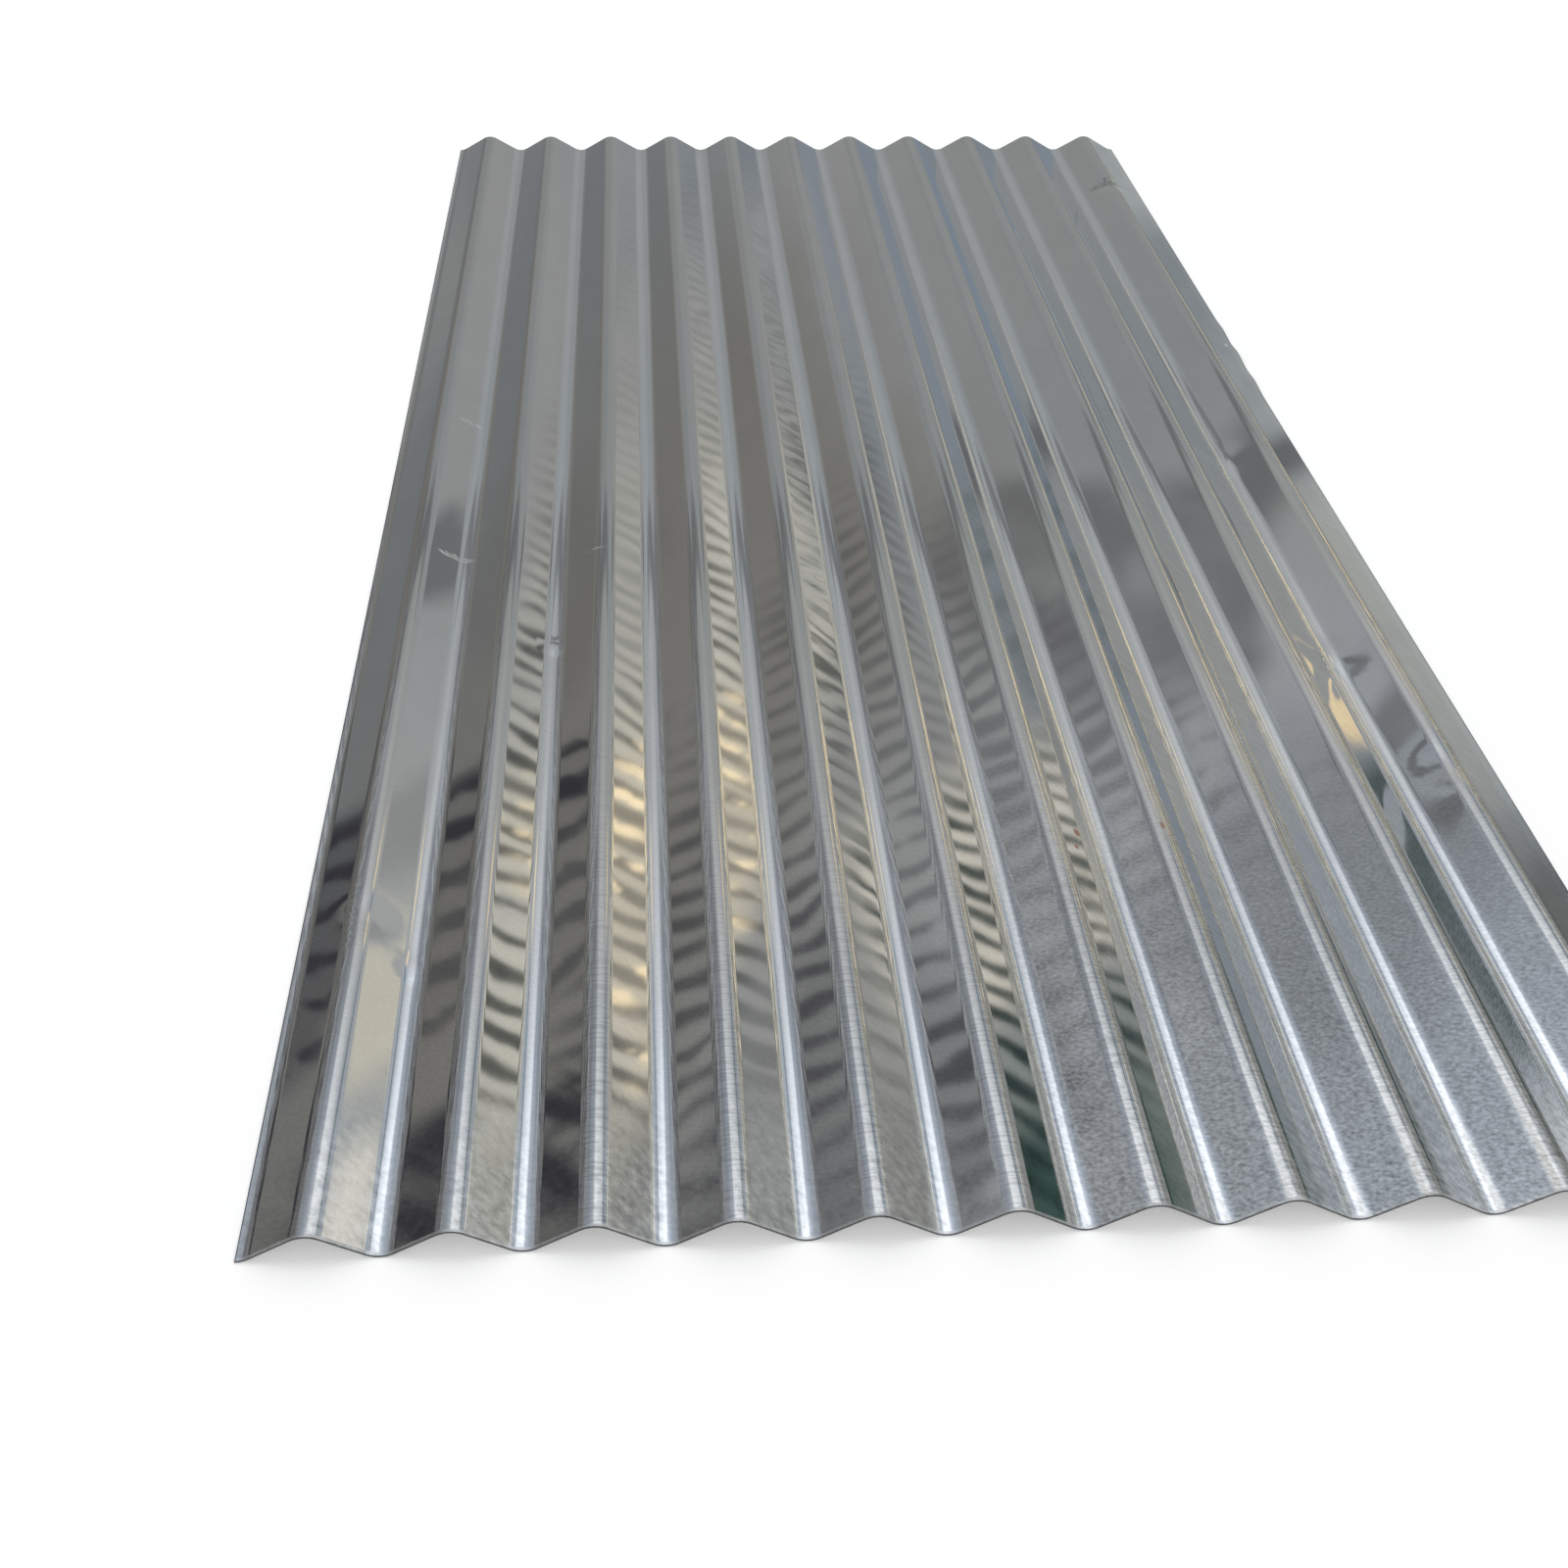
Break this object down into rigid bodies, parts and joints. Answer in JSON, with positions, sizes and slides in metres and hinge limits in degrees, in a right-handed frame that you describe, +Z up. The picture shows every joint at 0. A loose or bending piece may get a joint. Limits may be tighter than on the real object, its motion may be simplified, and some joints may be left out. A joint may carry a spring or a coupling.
{
  "type": "corrugated metal sheet",
  "caption": "Galvanised steel sheet rolled into even waves along its length and sheared square, for roofing, walling and fencing. It laps wave over wave.",
  "frame": {"origin": "middle of the sheet, on the plane that its valleys rest on", "axes": "+X across the waves, +Y along the waves, +Z up from the valleys to the crests"},
  "size_m": [0.8382, 1.8, 0.0178],
  "materials": {
    "galvanised_steel": "bright hot-dipped zinc with a fine spangle and roller marks"
  },
  "bodies": {
    "root": {"corrugated_sheet": "galvanised_steel"}
  },
  "joints": []
}
